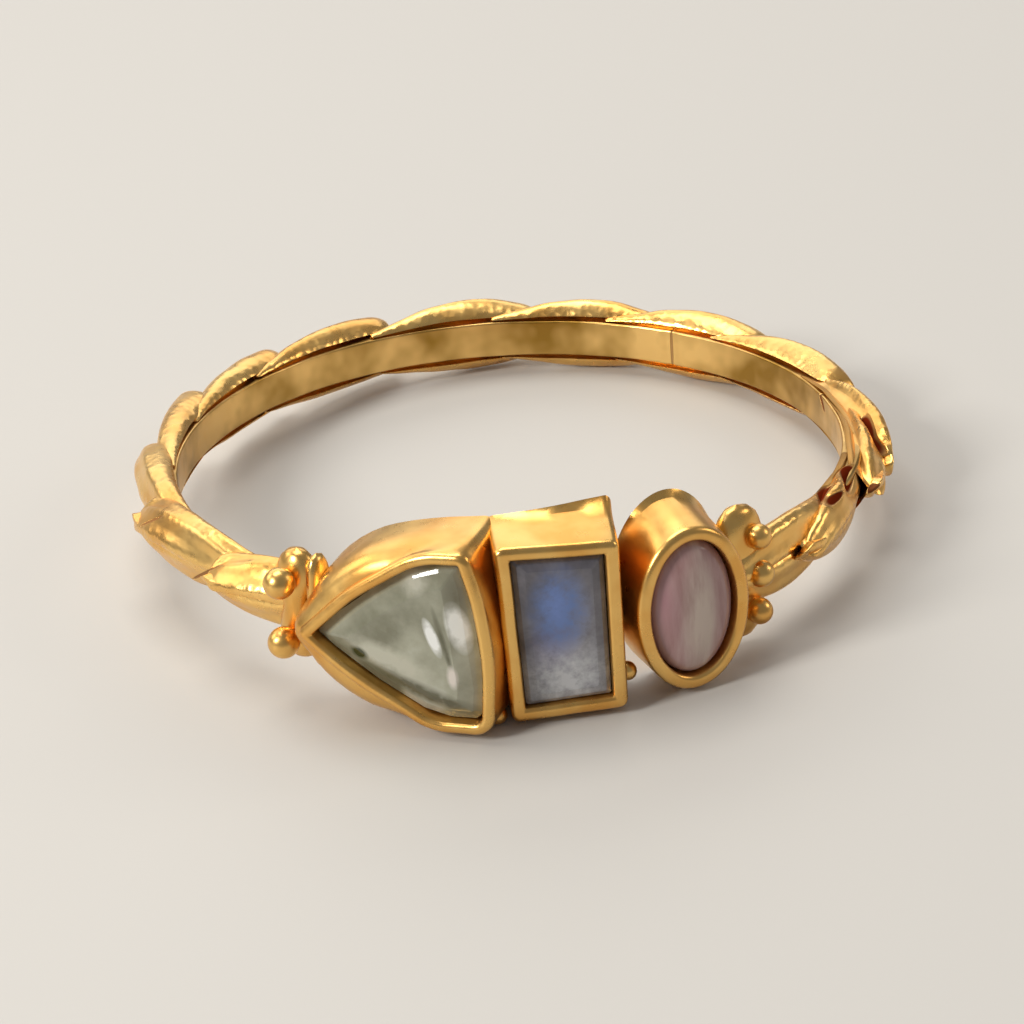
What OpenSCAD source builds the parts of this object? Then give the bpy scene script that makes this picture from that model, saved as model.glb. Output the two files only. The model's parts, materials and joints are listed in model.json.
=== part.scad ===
// Gold finger ring: a band of overlapping leaf pairs on a plain inner hoop, with a row of three
// bezel-set stones, lying on its side. Millimetres.
// The ring's own frame has the finger axis along Z and the middle of the settings toward -Y.
// Angles round the ring start at -Y and grow toward +X. The last module leans the ring until the
// settings and the leaves opposite them rest on Z = 0.

/* [Band] */
// Inside diameter of the finger hole
bore_diameter = 17.3; // [14:0.1:22]
// Wall of the plain inner hoop
hoop_wall = 0.55; // [0.3:0.05:1]
// Width of the plain inner hoop along the finger
hoop_width = 1.15; // [0.8:0.05:3]
// Chamfer on the hoop's outer edges
hoop_chamfer = 0.12; // [0:0.02:0.2]

/* [Leaves] */
// Arc covered by one leaf from base to tip, in degrees
leaf_arc = 31; // [20:1:40]
// Half width of a leaf where it is widest
leaf_half_width = 0.5; // [0.2:0.01:0.7]
// Half thickness of a leaf on its shoulders
leaf_half_thickness = 0.23; // [0.1:0.01:0.4]
// Distance of a leaf's base from the finger axis
leaf_base_radius = 8.98; // [8.8:0.02:9.2]
// Height of a leaf's midrib above the band's middle plane at the base
leaf_base_rise = 0.2; // [0:0.02:0.4]
// Extra height of the midrib where a leaf with the full bow arches most
leaf_bow = 0.3; // [0:0.01:0.4]
// Power that moves the highest point of the arch toward the tip
leaf_arch = 1.4; // [1:0.1:2]
// Angle by which the lower leaf of each pair leads the upper one
leaf_stagger = 1.5; // [0:0.5:5]
// Height that a leaf's flank adds to the hoop's edge halfway along the leaf
flank_lift = 0.08; // [0:0.02:0.3]
// Distance from the finger axis at which the flank ends under the tip
flank_end_radius = 9; // [8.7:0.05:9.2]

/* [Settings] */
// Wall of a bezel cup, measured at the rim
bezel_wall = 0.36; // [0.2:0.02:0.6]
// Burnished bevel on the outside of the rim
rim_bevel = 0.12; // [0:0.02:0.3]
// Distance of a seat floor from the finger axis
seat_distance = 9.24; // [9.22:0.02:9.4]
// Clearance round and under each stone
stone_gap = 0.05; // [0.02:0.01:0.1]
// Diameter of a gold granule
granule_diameter = 0.8; // [0.4:0.05:1.2]

/* [Rest] */
// Lean of the ring on its side, head raised
lean_deg = 4.19; // [0:0.01:8]
// Sideways roll of the ring on its side
roll_deg = 1.63; // [-3:0.01:3]

/* [Hidden] */

bore_radius = bore_diameter / 2;
hoop_radius = bore_radius + hoop_wall;
cut_start = bore_radius - 0.75;
corner_steps = 5;
stone_steps = 1;
colour_gold = "Gold";

// Place of the leaning ring: the middle of its outline in X and Y, and its lowest point in Z.
sit = [-0.078, 0.548, 1.694];

// Leaf pairs, one row each. Tips point the same way all round the band.
PAIR_TIP = 0;      // angle of the tip round the ring
PAIR_RADIUS = 1;   // distance of the tip from the finger axis
PAIR_RISE = 2;     // height of the upper leaf's tip above the band's middle plane
PAIR_WIDTH = 3;    // share of the full leaf width
PAIR_TURN = 4;     // angle by which the leaf's outer face turns upward
PAIR_BULGE = 5;    // swell of the flank between the leaf's crest and the finger hole, or its hollow
PAIR_BOW = 6;      // share of the full bow
leaf_pairs = [
    [-49.0, 9.66, 0.00, 1.04, 42, 0.12, 1.0],
    [-75.0, 9.76, -0.02, 1.04, 42, 0.12, 1.0],
    [-95.5, 9.74, 0.26, 0.94, 30, 0.12, 0.4],
    [-116.5, 9.90, 0.34, 0.92, 20, 0.12, 0.2],
    [-135.8, 9.82, 0.38, 0.94, 15, 0.12, 0.2],
    [-157.0, 9.82, 0.36, 0.98, 15, 0.12, 0.45],
    [-183.0, 9.80, 0.10, 1.12, 15, 0.12, 1.0],
    [-205.5, 9.66, 0.06, 1.12, 22, 0.12, 1.0],
    [-226.5, 9.80, 0.10, 1.06, 15, 0.12, 1.0],
    [-248.0, 9.84, 0.10, 1.02, 12, 0.10, 1.0],
    [-272.5, 9.90, 0.08, 1.00, 6, -0.20, 1.0],
    [-284.0, 9.68, -0.14, 0.92, 38, -0.16, 1.0],
    [-308.0, 9.62, -0.08, 0.92, 32, -0.12, 1.0],
    [-323.0, 9.46, 0.12, 0.96, 15, 0.08, 1.0],
];

// Sections of one leaf from base to tip.
LEAF_AT = 0;       // place along the leaf
LEAF_WIDE = 1;     // share of the half width
LEAF_THICK = 2;    // share of the half thickness
leaf_sections = [
    [0.00, 0.45, 0.70],
    [0.16, 0.78, 0.90],
    [0.34, 1.00, 1.00],
    [0.54, 1.04, 1.00],
    [0.73, 0.98, 1.00],
    [0.89, 0.84, 1.00],
    [1.00, 0.56, 0.90],
];

// Face of one leaf section, folded along its midrib, from the band's middle to the leaf's crest, and
// the foot that it stands on inside the hoop.
FOLD_ACROSS = 0;   // across the leaf, in half widths
FOLD_OUT = 1;      // away from the finger, in half thicknesses
leaf_fold = [[-1, 0.2], [-0.66, 0.95], [0, 0.7], [0.66, 0.95], [1, 0.2]];
leaf_foot = [-0.6, -0.9];

// Settings: direction of each face, its distance from the finger axis, the corners of its outline
// and the point that the outline shrinks toward.
CORNER_R = 2;      // rounding of a corner
triangle_angle = -16.7;
triangle_face = 10.6;
triangle_corners = [
    [-1.92, -0.06, 0.2], [-0.68, -1.15, 7], [1.45, -2.36, 1.6], [3.05, -2.30, 0.55],
    [3.26, 0.30, 8], [2.62, 2.52, 0.35], [1.31, 2.43, 2], [-0.55, 1.28, 7],
];
triangle_centre = [0.49, 0.35];
triangle_half = [2.17, 2.25];
// Corners of the wider skirt where the triangle's cup meets the band, in the same order.
skirt_corners = [
    [-2.28, -0.10, 0.6], [-1.02, -2.12, 2.4], [1.45, -2.36, 1.6], [3.05, -2.30, 0.55],
    [3.26, 0.30, 8], [2.60, 2.54, 0.35], [1.06, 2.50, 5.5], [-0.92, 1.96, 3],
];
// Domed wall between the skirt and the rim.
WALL_AT = 0;       // distance from the finger axis
WALL_FLARE = 1;    // share of the way from the rim's outline out to the skirt's
domed_wall = [[9.40, 1], [9.95, 0.88], [10.25, 0.6]];

rectangle_angle = 8.6;
rectangle_face = 10.3;
rectangle_corners = [[-1.20, -2.30, 0.22], [1.64, -2.14, 0.22], [1.58, 2.32, 0.22], [-1.44, 2.40, 0.22]];
rectangle_skirt = [[-1.20, -2.30, 0.22], [1.64, -2.14, 0.22], [1.62, 2.82, 0.22], [-1.46, 2.52, 0.22]];
rectangle_centre = [0.16, 0.05];
rectangle_half = [1.45, 2.28];

oval_angle = 26;
oval_face = 10.3;
oval_half = [1.50, 2.16];
oval_centre = [0.36, 0.05];
oval_skirt_half = [1.50, 2.36];
oval_skirt_centre = [0.36, 0.25];
oval_sides = 28;

// Stones: height above the seat and share of the girdle outline, from the culet face to the table.
FACET_RISE = 0;
FACET_SHARE = 1;
step_cut = [[0, 0.55], [0.70, 1], [0.82, 1], [0.98, 0.80]];
triangle_cut = [[0, 0.3], [0.86, 1], [0.98, 1], [1.30, 0.62]];
dome = [[0, 0.9], [0.50, 1], [0.74, 0.97], [0.92, 0.86], [1.05, 0.68], [1.14, 0.44], [1.18, 0.18]];

// Granules soldered on the collars, and the small balls at the foot of the gaps between the cups.
BALL_ANGLE = 0;
BALL_RADIUS = 1;   // distance of the ball's centre from the finger axis
BALL_HEIGHT = 2;   // height above the band's middle plane
BALL_SIZE = 3;     // share of the granule diameter
granules = [
    [-31.8, 10.00, 0.80, 1.00],
    [-31.8, 10.00, -0.80, 1.00],
    [42.2, 9.54, 1.00, 0.82],
    [42.4, 9.56, 0.00, 0.86],
    [42.0, 9.55, -1.00, 0.84],
    [-0.2, 10.05, -2.15, 0.60],
    [18.8, 9.70, -1.50, 0.60],
];

// Collar lobes and the rib beside one of them, where the band meets the row of settings: angle,
// distance, height reached, half width.
LOBE_ANGLE = 0;
LOBE_RADIUS = 1;
LOBE_REACH = 2;
LOBE_HALF = 3;
collar_lobes = [
    [-31.6, 9.26, 1.48, 0.60],
    [-27.4, 9.40, 1.52, 0.26],
    [40.6, 9.06, 1.80, 0.74],
];
// Sections of a lobe from the band's middle plane to its tip.
SECTION_AT = 0;
SECTION_WIDE = 1;
SECTION_THICK = 2;
lobe_sections = [
    [0, 0.70, 1.00],
    [0.30, 0.95, 1.00],
    [0.55, 1.00, 0.95],
    [0.78, 0.82, 0.80],
    [0.93, 0.50, 0.55],
    [1.00, 0.18, 0.25],
];
lobe_half_thickness = 0.42;
lobe_sides = 10;

function on_ring(angle, radius, z) = [radius * sin(angle), -radius * cos(angle), z];
function lerp(a, b, t) = a + (b - a) * t;

// Faces of a solid lofted through rings of n points each, from the first ring's cap to the last.
function loft_faces(rings, n) = concat(
    [[for (i = [0 : n - 1]) i]],
    [for (k = [0 : rings - 2], i = [0 : n - 1]) [k * n + i, (k + 1) * n + i, (k + 1) * n + (i + 1) % n]],
    [for (k = [0 : rings - 2], i = [0 : n - 1]) [k * n + i, (k + 1) * n + (i + 1) % n, k * n + (i + 1) % n]],
    [[for (i = [n - 1 : -1 : 0]) (rings - 1) * n + i]]
);

// Outline round a table of corners, each turned by an arc tangent to both sides.
function unit(v) = v / norm(v);
function corner_arc(before, at, after, radius, steps) =
    let (a = unit(before - at), b = unit(after - at),
         half = acos(a * b) / 2,
         centre = [at.x, at.y] + unit(a + b) * radius / sin(half),
         start = at + a * radius / tan(half) - centre,
         turn = 180 - 2 * half)
    [for (i = [0 : steps]) let (w = turn * i / steps)
        centre + [start.x * cos(w) - start.y * sin(w), start.x * sin(w) + start.y * cos(w)]];
function flat(corner) = [corner.x, corner.y];
function outline(corners, steps) =
    let (n = len(corners))
    [for (i = [0 : n - 1])
        each corner_arc(flat(corners[(i + n - 1) % n]), flat(corners[i]), flat(corners[(i + 1) % n]),
            corners[i][CORNER_R], steps)];

function ellipse_points(half, centre, n) =
    [for (i = [0 : n - 1]) centre + [half.x * cos(360 * i / n), half.y * sin(360 * i / n)]];
function shrunk(points, centre, share) =
    [for (p = points) centre + [(p.x - centre.x) * share.x, (p.y - centre.y) * share.y]];
function blend(from, to, share) = [for (i = [0 : len(from) - 1]) lerp(from[i], to[i], share)];
function inset_share(half, inset) = [1 - inset / half.x, 1 - inset / half.y];
function at_height(points, w) = [for (p = points) [p.x, p.y, w]];

module facing(angle) {
    rotate([0, 0, angle]) rotate([90, 0, 0]) children();
}

// The hoop before the finger hole is cut through it.
module hoop_blank() {
    rotate_extrude($fn = 180)
        polygon([
            [cut_start, -hoop_width / 2],
            [hoop_radius - hoop_chamfer, -hoop_width / 2],
            [hoop_radius, -hoop_width / 2 + hoop_chamfer],
            [hoop_radius, hoop_width / 2 - hoop_chamfer],
            [hoop_radius - hoop_chamfer, hoop_width / 2],
            [cut_start, hoop_width / 2],
        ]);
}

// A leaf section as its face, then the flank from the crest over the hoop's edge into the finger hole.
function leaf_section(pair, s) =
    let (t = s[LEAF_AT],
         angle = pair[PAIR_TIP] + leaf_arc * (1 - t),
         radius = lerp(leaf_base_radius, pair[PAIR_RADIUS], pow(t, 1.25)),
         bow = leaf_bow * pair[PAIR_BOW] * sin(180 * pow(t, leaf_arch)),
         rise = lerp(leaf_base_rise, pair[PAIR_RISE], t) + bow,
         turn = pair[PAIR_TURN] * sin(90 * t),
         face = [for (f = concat(leaf_fold, [leaf_foot]))
             let (across = leaf_half_width * pair[PAIR_WIDTH] * s[LEAF_WIDE] * f[FOLD_ACROSS],
                  out = leaf_half_thickness * s[LEAF_THICK] * f[FOLD_OUT])
             [radius + out * cos(turn) - across * sin(turn), rise + out * sin(turn) + across * cos(turn)]],
         last = len(leaf_fold) - 1,
         edge = [lerp(bore_radius - 0.06, flank_end_radius, pow(t, 4)),
             hoop_width / 2 - 0.03 + flank_lift * sin(180 * t)],
         flank = (face[last] + edge) / 2 + [0, pair[PAIR_BULGE]])
    [
        for (i = [0 : last]) on_ring(angle, face[i].x, face[i].y),
        on_ring(angle, flank.x, flank.y),
        on_ring(angle, edge.x, edge.y),
        on_ring(angle, face[last + 1].x, face[last + 1].y),
    ];

module leaf(pair) {
    polyhedron(
        points = [for (s = leaf_sections) each leaf_section(pair, s)],
        faces = loft_faces(len(leaf_sections), len(leaf_fold) + 3)
    );
}

module leaf_band() {
    for (pair = leaf_pairs) {
        leaf(pair);
        rotate([0, 0, -leaf_stagger]) mirror([0, 0, 1]) leaf(pair);
    }
}

module collar_lobe(lobe) {
    points = [for (s = lobe_sections, i = [0 : lobe_sides - 1])
        let (w = 360 * i / lobe_sides)
        [lobe[LOBE_HALF] * s[SECTION_WIDE] * cos(w), lobe_half_thickness * s[SECTION_THICK] * sin(w),
            lobe[LOBE_REACH] * s[SECTION_AT]]];
    rotate([0, 0, lobe[LOBE_ANGLE]]) translate([0, -lobe[LOBE_RADIUS], 0])
        polyhedron(points = points, faces = loft_faces(len(lobe_sections), lobe_sides));
}

module collars() {
    for (lobe = collar_lobes) {
        collar_lobe(lobe);
        mirror([0, 0, 1]) collar_lobe(lobe);
    }
}

module granulation() {
    for (ball = granules)
        translate(on_ring(ball[BALL_ANGLE], ball[BALL_RADIUS], ball[BALL_HEIGHT]))
            sphere(d = granule_diameter * ball[BALL_SIZE], $fn = 24);
}

// A cup with its mouth at the face and its back open to the finger hole's cut. Its wall rises from
// the skirt through the steps of the wall table.
module cup(points, skirt, centre, half, face, wall = []) {
    rim = shrunk(points, centre, inset_share(half, rim_bevel));
    mouth = shrunk(points, centre, inset_share(half, bezel_wall));
    polyhedron(
        points = concat(
            at_height(skirt, cut_start),
            [for (w = wall) each at_height(blend(points, skirt, w[WALL_FLARE]), w[WALL_AT])],
            at_height(points, face - rim_bevel),
            at_height(rim, face),
            at_height(mouth, face),
            at_height(mouth, seat_distance)
        ),
        faces = loft_faces(len(wall) + 5, len(points))
    );
}

module cut_stone(points, centre, half, levels) {
    fit = inset_share(half, bezel_wall + stone_gap);
    polyhedron(
        points = [for (f = levels) each at_height(
            shrunk(points, centre, fit * f[FACET_SHARE]), seat_distance + stone_gap + f[FACET_RISE])],
        faces = loft_faces(len(levels), len(points))
    );
}

module bezels() {
    triangle = outline(triangle_corners, corner_steps);
    skirt = outline(skirt_corners, corner_steps);
    rectangle = outline(rectangle_corners, corner_steps);
    rectangle_foot = outline(rectangle_skirt, corner_steps);
    oval = ellipse_points(oval_half, oval_centre, oval_sides);
    oval_foot = ellipse_points(oval_skirt_half, oval_skirt_centre, oval_sides);
    facing(triangle_angle)
        cup(triangle, skirt, triangle_centre, triangle_half, triangle_face, domed_wall);
    facing(rectangle_angle)
        cup(rectangle, rectangle_foot, rectangle_centre, rectangle_half, rectangle_face);
    facing(oval_angle)
        cup(oval, oval_foot, oval_centre, oval_half, oval_face);
}

// Leans the ring from its own frame onto its side.
module resting() {
    translate(sit) rotate([-lean_deg, roll_deg, 0]) children();
}

module gold_band_and_settings() {
    color(colour_gold) resting() difference() {
        union() {
            hoop_blank();
            leaf_band();
            bezels();
            collars();
            granulation();
        }
        cylinder(r = bore_radius, h = 12, center = true, $fn = 180);
    }
}

module triangle_stone() {
    color("Honeydew") resting() facing(triangle_angle)
        cut_stone(outline(triangle_corners, stone_steps), triangle_centre, triangle_half, triangle_cut);
}

module labradorite_stone() {
    color("SlateGray") resting() facing(rectangle_angle)
        cut_stone(outline(rectangle_corners, stone_steps), rectangle_centre, rectangle_half, step_cut);
}

module oval_stone() {
    color("RosyBrown") resting() facing(oval_angle)
        cut_stone(ellipse_points(oval_half, oval_centre, oval_sides), oval_centre, oval_half, dome);
}

gold_band_and_settings();
triangle_stone();
labradorite_stone();
oval_stone();
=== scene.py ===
# Labradorite ring: a gold band of overlapping leaf pairs with a row of three bezel-set stones,
# lying on its side. Every piece is modelled in millimetres in the ring's own frame, with the finger
# axis along Z and the settings toward -Y, and then put in the shared frame.
import json
import math

import bmesh
import bpy
from mathutils import Matrix, Vector, noise


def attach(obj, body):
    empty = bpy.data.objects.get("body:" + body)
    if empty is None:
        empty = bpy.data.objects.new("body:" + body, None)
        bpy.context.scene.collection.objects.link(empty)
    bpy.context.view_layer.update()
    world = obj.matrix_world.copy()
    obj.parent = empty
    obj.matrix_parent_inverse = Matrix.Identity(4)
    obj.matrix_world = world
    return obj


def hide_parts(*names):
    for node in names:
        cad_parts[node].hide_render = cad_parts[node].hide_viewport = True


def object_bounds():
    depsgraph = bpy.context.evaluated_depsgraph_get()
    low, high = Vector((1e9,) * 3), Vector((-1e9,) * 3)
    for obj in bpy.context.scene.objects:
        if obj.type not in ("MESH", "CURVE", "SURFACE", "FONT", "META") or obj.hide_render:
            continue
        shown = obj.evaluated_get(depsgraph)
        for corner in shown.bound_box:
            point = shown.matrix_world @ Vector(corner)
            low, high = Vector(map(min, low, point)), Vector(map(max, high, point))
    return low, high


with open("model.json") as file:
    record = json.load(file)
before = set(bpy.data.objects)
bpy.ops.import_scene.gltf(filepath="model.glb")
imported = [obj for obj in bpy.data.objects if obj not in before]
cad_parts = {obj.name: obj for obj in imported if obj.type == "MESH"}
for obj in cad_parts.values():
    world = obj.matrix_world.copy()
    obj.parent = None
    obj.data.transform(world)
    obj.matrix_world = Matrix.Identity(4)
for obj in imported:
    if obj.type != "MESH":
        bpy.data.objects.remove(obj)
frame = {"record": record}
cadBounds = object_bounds()
scene = bpy.context.scene
goldNode = "gold_band_and_settings"
noise.seed_set(6)      # or the unevenness of handwork would differ from run to run

# The ring's frame comes from the finger bore in the record.
bore = frame["record"]["mounts"][0]
boreRadius = bore["dims"]["r_mm"]
axisZ = Vector(bore["axis"]).normalized()
axisX = Vector((axisZ.z, 0, -axisZ.x)).normalized()
axisY = axisZ.cross(axisX)
mm = 0.001
ringTurn = Matrix((axisX, axisY, axisZ)).transposed().to_4x4()
ringPlace = Matrix.Translation(Vector(bore["pos_m"])) @ ringTurn @ Matrix.Scale(mm, 4)


def onRing(angle, radius, height):
    a = math.radians(angle)
    return Vector((radius * math.sin(a), -radius * math.cos(a), height))


def facing(angle):
    # local x runs round the ring, y along the finger, z out through the face of a cup
    a = math.radians(angle)
    return Matrix(((math.cos(a), 0, math.sin(a)), (math.sin(a), 0, -math.cos(a)), (0, 1, 0))).to_4x4()


def mix(a, b, t):
    return a + (b - a) * t


def fromTable(table, at, column=1):
    # smooth reading of a table between its rows
    for low, high in zip(table, table[1:]):
        if at <= high[0]:
            t = (at - low[0]) / (high[0] - low[0])
            return mix(low[column], high[column], t * t * (3 - 2 * t) * 0.5 + t * 0.5)
    return table[-1][column]


def toLinear(hexColour):
    parts = [int(hexColour[i:i + 2], 16) / 255 for i in (1, 3, 5)]
    return [c / 12.92 if c <= 0.04045 else ((c + 0.055) / 1.055) ** 2.4 for c in parts] + [1.0]


def newMaterial(name):
    material = bpy.data.materials.new(name)
    material.use_nodes = True
    tree = material.node_tree
    return material, tree, tree.nodes["Principled BSDF"]


def inputOf(node, key):
    # an input by number or name, only among those in use
    if isinstance(key, int):
        return node.inputs[key]
    return next(i for i in node.inputs if i.name == key and i.enabled)


def addNode(tree, kind, settings=None, links=None):
    # settings are the node's own properties, the stops of a ramp, or values of inputs
    node = tree.nodes.new(kind)
    for key, value in (settings or {}).items():
        if key == "stops":
            ramp = node.color_ramp
            while len(ramp.elements) < len(value):
                ramp.elements.new(0.5)
            for element, (at, colour) in zip(ramp.elements, value):
                element.position, element.color = at, colour
        elif isinstance(key, str) and hasattr(node, key):
            setattr(node, key, value)
        else:
            inputOf(node, key).default_value = value
    for key, source in (links or {}).items():
        tree.links.new(source, inputOf(node, key))
    return node


def colourSteps(stops):
    # settings of a colour ramp from places and colours
    return {"stops": [(at, toLinear(colour)) for at, colour in stops]}


goldLook = {
    "colour": "#EDBF70",
    "redder": "#E2A958",
    # painted shade: the brown laid into the hollows
    "hollowShade": "#A05A1A",
    # painted shade in the openings, and the solder seam's own dark line
    "openingShadeAndSeam": "#64200C",
    "patchMm": 1.6,
    "roughness": (0.27, 0.38),    # where wear has polished it, and elsewhere
    "wearMm": 0.45,
    "grainMm": 0.09,              # drawn coarser than real brushing so that it shows
    "grainDepthMm": 0.0016,
    "dentMm": 1.3,
    "dentDepthMm": 0.008,
    "chipMm": 0.22,
    "chipDepthMm": 0.0,           # chips along the ridges, which catch the light
}
leafLook = dict(goldLook, colour="#F6C97A", redder="#EDB562", hollowShade="#A2752F", roughness=(0.27, 0.4),
                dentMm=0.8, dentDepthMm=0.012, chipDepthMm=0.026)
hoopLook = dict(goldLook, colour="#F2C77C", redder="#A27C36", patchMm=2.4, roughness=(0.28, 0.42),
                dentMm=0.7, dentDepthMm=0.012)


# Openings between the strands, with their shade painted dark: one end and the other as angle, distance and
# height, half width, depth in millimetres, and how dark the painted shade is
leafOpenings = [
    ((96.8, 9.27, 0.68), (86.6, 9.71, 0.10), 0.19, 0.14, 1.0),
    ((78.0, 9.14, 0.62), (67.2, 9.37, 0.54), 0.26, 0.16, 1.0),
    ((68.6, 8.88, 0.62), (60.2, 9.46, 0.66), 0.11, 0.06, 1.0),
    ((76.1, 9.76, 0.21), (73.2, 9.76, 0.01), 0.11, 0.06, 0.9),
    # thin painted shadows where a leaf's tip lies over the next
    ((-70.4, 9.92, 0.08), (-65.0, 9.48, 0.68), 0.035, 0.02, 0.75),
    ((-58.6, 9.32, -0.76), (-45.8, 9.53, 0.50), 0.045, 0.02, 0.75),
]
seamAngle = 151.1          # where the hoop was soldered closed
hoopOpenings = [
    # the solder seam's own dark line
    ((seamAngle, 8.66, -0.7), (seamAngle, 8.66, 0.7), 0.05, 0.0, 0.6),
    # painted shade in a slit on the inner face
    ((109.4, 8.66, 0.52), (106.6, 8.66, 0.1), 0.1, 0.0, 0.9),
]
openingReach = 0.42        # how far an opening reaches in and out of the surface, in millimetres


def openingFrame(start, end, halfWidth):
    # middle, unit directions along, across and outward, and the three half sizes of one opening
    first, last = onRing(*start), onRing(*end)
    along = (last - first).normalized()
    out = onRing((start[0] + end[0]) / 2, 1, 0)
    side = out.cross(along).normalized()
    turn = Matrix((along, side, along.cross(side))).transposed()
    return (first + last) / 2, turn, Vector(((last - first).length / 2, halfWidth, openingReach))


def sinkOpenings(bm, table):
    # presses the surface in, a little wider than the dark part and deepest in the middle
    for start, end, halfWidth, depth, _ in table:
        middle, turn, half = openingFrame(start, end, halfWidth)
        back = turn.transposed()
        for vert in bm.verts:
            away = back @ (vert.co - middle)
            share = 1 - Vector((away.x / half.x, away.y / (half.y + 0.05), away.z / half.z)).length
            if share > 0:
                vert.co -= turn.col[2] * depth * min(1.0, 2.5 * share)


def openingMask(tree, at, table):
    # where the painted shade of the openings, and the dark solder seam, lie: 1 inside an opening, 0
    # outside, with a soft edge
    mask = None
    for start, end, halfWidth, _, darkness in table:
        middle, turn, half = openingFrame(start, end, halfWidth)
        local = addNode(tree, "ShaderNodeMapping",
                        {"vector_type": "TEXTURE", "Location": ringPlace @ middle / mm,
                         "Rotation": (ringTurn.to_3x3() @ turn).to_euler(), "Scale": half}, at)
        fade = addNode(tree, "ShaderNodeTexGradient", {"gradient_type": "SPHERICAL"},
                       {"Vector": local.outputs["Vector"]})
        inside = addNode(tree, "ShaderNodeMapRange",
                         {"interpolation_type": "SMOOTHSTEP", "From Max": 0.28, "To Max": darkness},
                         {"Value": fade.outputs["Fac"]})
        links = {0: inside.outputs["Result"]}
        if mask:
            links[1] = mask
        joined = addNode(tree, "ShaderNodeMath", {"operation": "MAXIMUM", 1: 0.0}, links)
        mask = joined.outputs["Value"]
    return mask


def goldColour(tree, at, look, relief):
    # redder patches in the yellow, and brown in the hollows: painted shade, with the polish and dirt that
    # stay there
    patches = addNode(tree, "ShaderNodeTexNoise",
                      {"Scale": 1 / look["patchMm"], "Detail": 3.0, "Roughness": 0.55}, at)
    tone = addNode(tree, "ShaderNodeValToRGB",
                   colourSteps([(0.38, look["redder"]), (0.6, look["colour"])]),
                   {"Fac": patches.outputs["Fac"]})
    # painted shade: darker brown where the relief marks a hollow
    hollow = addNode(tree, "ShaderNodeMapRange", {"From Min": 0.42, "From Max": 0.2}, {"Value": relief})
    shaded = addNode(tree, "ShaderNodeMix", {"data_type": "RGBA", "B": toLinear(look["hollowShade"])},
                     {"Factor": hollow.outputs["Result"], "A": tone.outputs["Color"]})
    return shaded.outputs["Result"]


def goldGloss(tree, at, look, relief):
    # wear polishes what stands up, unevenly
    polished, satin = look["roughness"]
    wear = addNode(tree, "ShaderNodeTexNoise",
                   {"Scale": 1 / look["wearMm"], "Detail": 4.0, "Roughness": 0.62}, at)
    rubbed = addNode(tree, "ShaderNodeMath", {"operation": "MULTIPLY_ADD", 1: -0.7},
                     {0: relief, 2: wear.outputs["Fac"]})
    gloss = addNode(tree, "ShaderNodeMapRange",
                    {"From Min": -0.05, "From Max": 0.36, "To Min": polished, "To Max": satin},
                    {"Value": rubbed.outputs["Value"]})
    return gloss.outputs["Result"]


def goldSurface(tree, at, look, relief):
    # faint dents, a fine grain, and the chips of the tool along the ridges
    dents = addNode(tree, "ShaderNodeTexNoise", {"Scale": 1 / look["dentMm"], "Detail": 2.0}, at)
    grain = addNode(tree, "ShaderNodeTexNoise",
                    {"Scale": 1 / look["grainMm"], "Detail": 4.0, "Roughness": 0.6}, at)
    soft = addNode(tree, "ShaderNodeBump", {"Strength": 0.6, "Distance": look["dentDepthMm"] * mm * 2},
                   {"Height": dents.outputs["Fac"]})
    brushed = addNode(tree, "ShaderNodeBump", {"Strength": 0.5, "Distance": look["grainDepthMm"] * mm * 2},
                      {"Height": grain.outputs["Fac"], "Normal": soft.outputs["Normal"]})
    if not look["chipDepthMm"]:
        return brushed.outputs["Normal"]
    chips = addNode(tree, "ShaderNodeTexVoronoi",
                    {"Scale": 1 / look["chipMm"], "feature": "SMOOTH_F1", "Smoothness": 0.3}, at)
    raised = addNode(tree, "ShaderNodeMapRange", {"From Min": 0.5, "From Max": 0.72}, {"Value": relief})
    facets = addNode(tree, "ShaderNodeMath", {"operation": "MULTIPLY"},
                     {0: chips.outputs["Distance"], 1: raised.outputs["Result"]})
    tooled = addNode(tree, "ShaderNodeBump", {"Strength": 0.9, "Distance": look["chipDepthMm"] * mm},
                     {"Height": facets.outputs["Value"], "Normal": brushed.outputs["Normal"]})
    return tooled.outputs["Normal"]


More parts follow.
